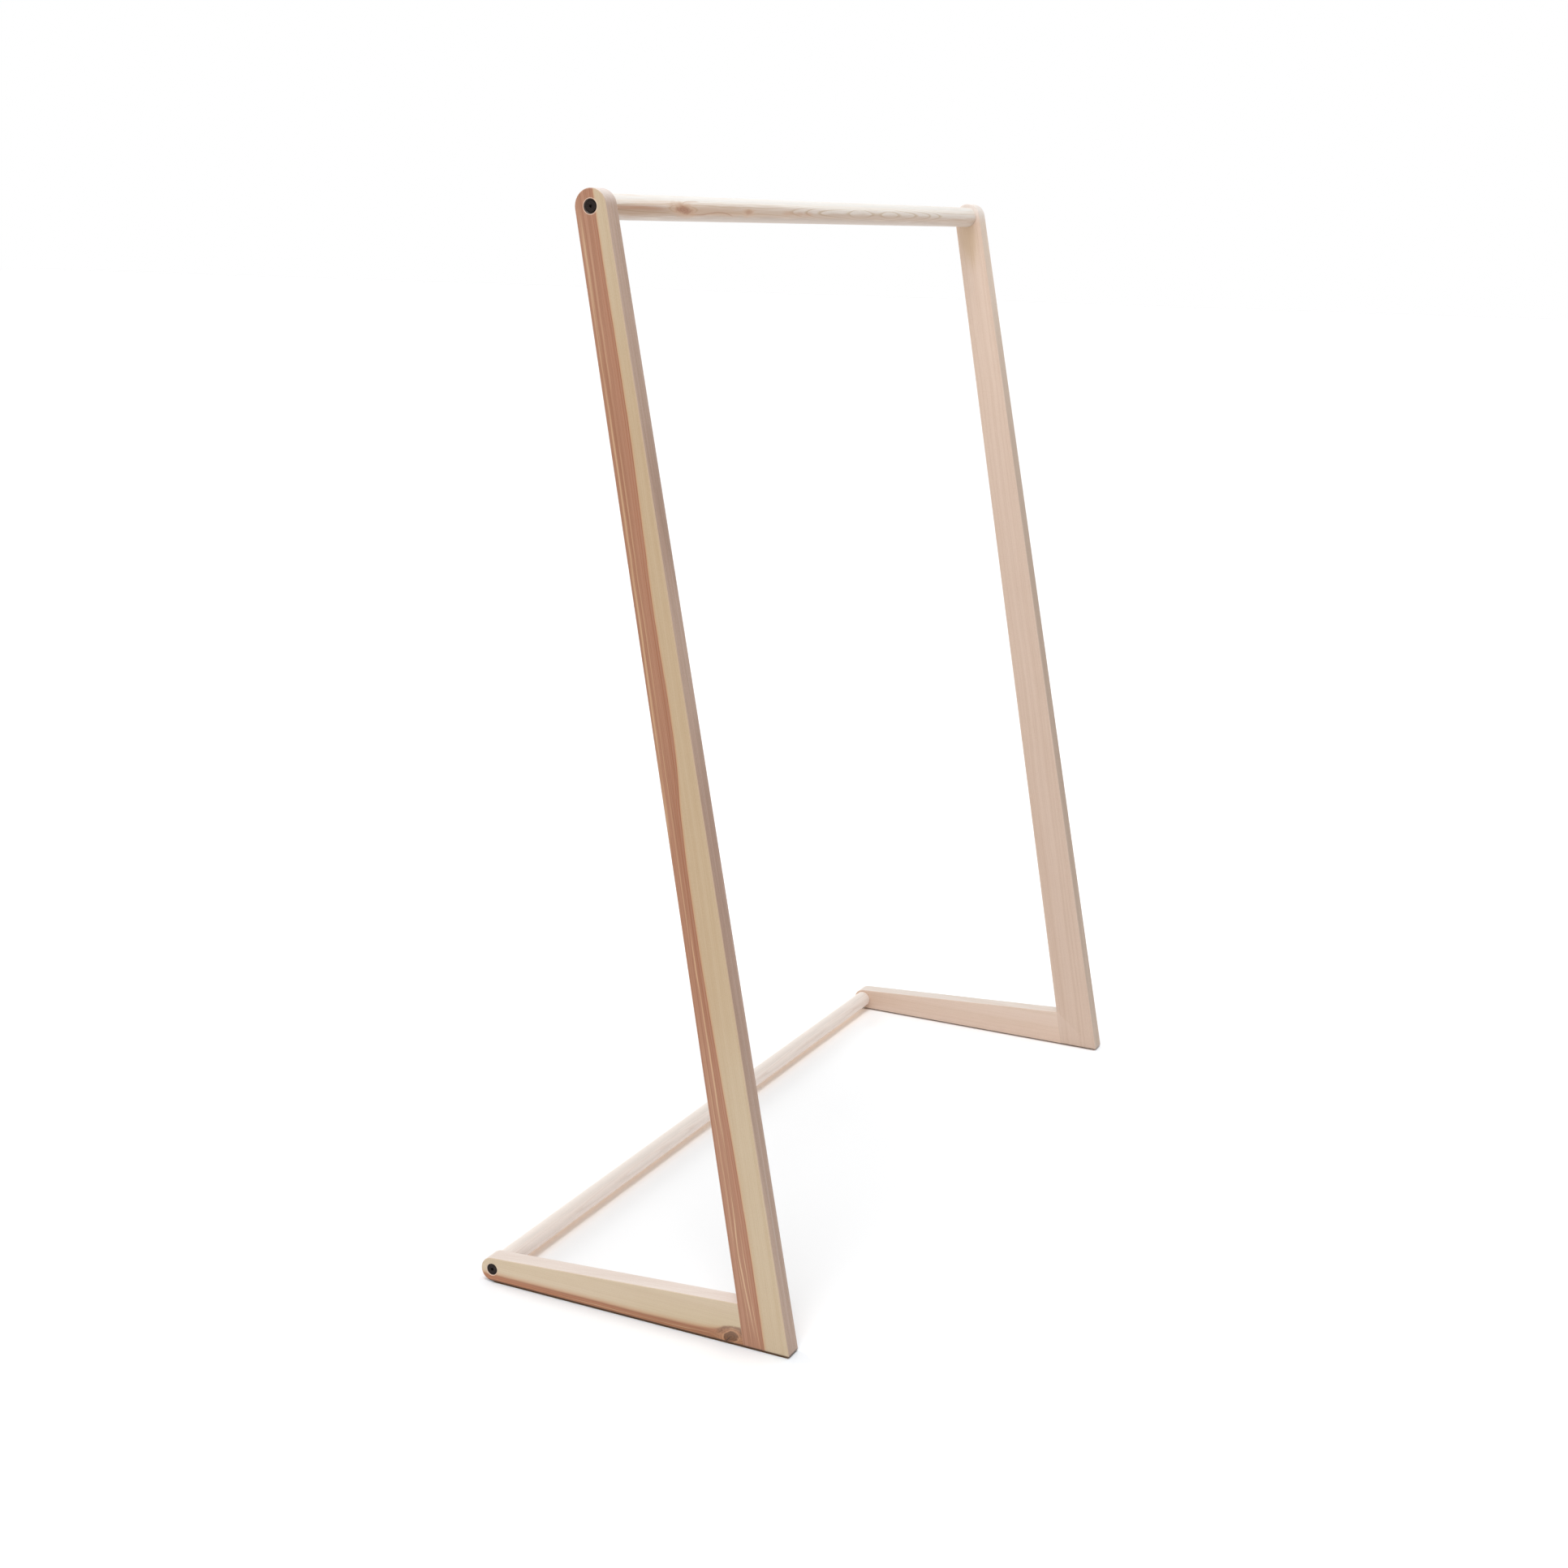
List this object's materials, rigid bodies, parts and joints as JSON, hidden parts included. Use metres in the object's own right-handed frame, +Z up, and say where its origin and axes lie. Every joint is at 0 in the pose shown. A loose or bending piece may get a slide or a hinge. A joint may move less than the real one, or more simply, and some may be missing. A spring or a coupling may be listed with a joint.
{
  "type": "coat rack",
  "caption": "Free-standing wooden coat rack: leaning tapered side frames with long flat feet, joined by a round hanging rail at the top and a round stretcher rail low at the back.",
  "frame": {"origin": "on the floor, at the middle of the rack's box in X and Y", "axes": "+X along the rails to the right frame, +Y from the toes of the legs to the back of the feet, +Z up"},
  "size_m": [1.3, 0.48, 1.5],
  "materials": {
    "leg_wood": "sanded and matt oiled, cream sapwood with reddish-brown heartwood streaks along the grain",
    "foot_wood": "sanded and matt oiled, cream with a reddish-brown band and a small knot",
    "rail_wood": "turned, sanded and matt oiled, pale with long straight grain",
    "dowel_wood": "plain beech, glued",
    "bolt_steel": "black oxide, satin",
    "insert_brass": "machined",
    "pad_felt": "pressed felt, matt"
  },
  "bodies": {
    "root": {"left_leg": "leg_wood", "right_leg": "leg_wood", "left_foot": "foot_wood", "right_foot": "foot_wood", "top_rail": "rail_wood", "bottom_rail": "rail_wood", "top_left_bolt": "bolt_steel", "top_right_bolt": "bolt_steel", "bottom_left_bolt": "bolt_steel", "bottom_right_bolt": "bolt_steel", "top_left_insert": "insert_brass", "top_right_insert": "insert_brass", "bottom_left_insert": "insert_brass", "bottom_right_insert": "insert_brass", "left_upper_dowel": "dowel_wood", "left_lower_dowel": "dowel_wood", "right_upper_dowel": "dowel_wood", "right_lower_dowel": "dowel_wood", "left_front_pad": "pad_felt", "left_back_pad": "pad_felt", "right_front_pad": "pad_felt", "right_back_pad": "pad_felt"}
  },
  "joints": []
}
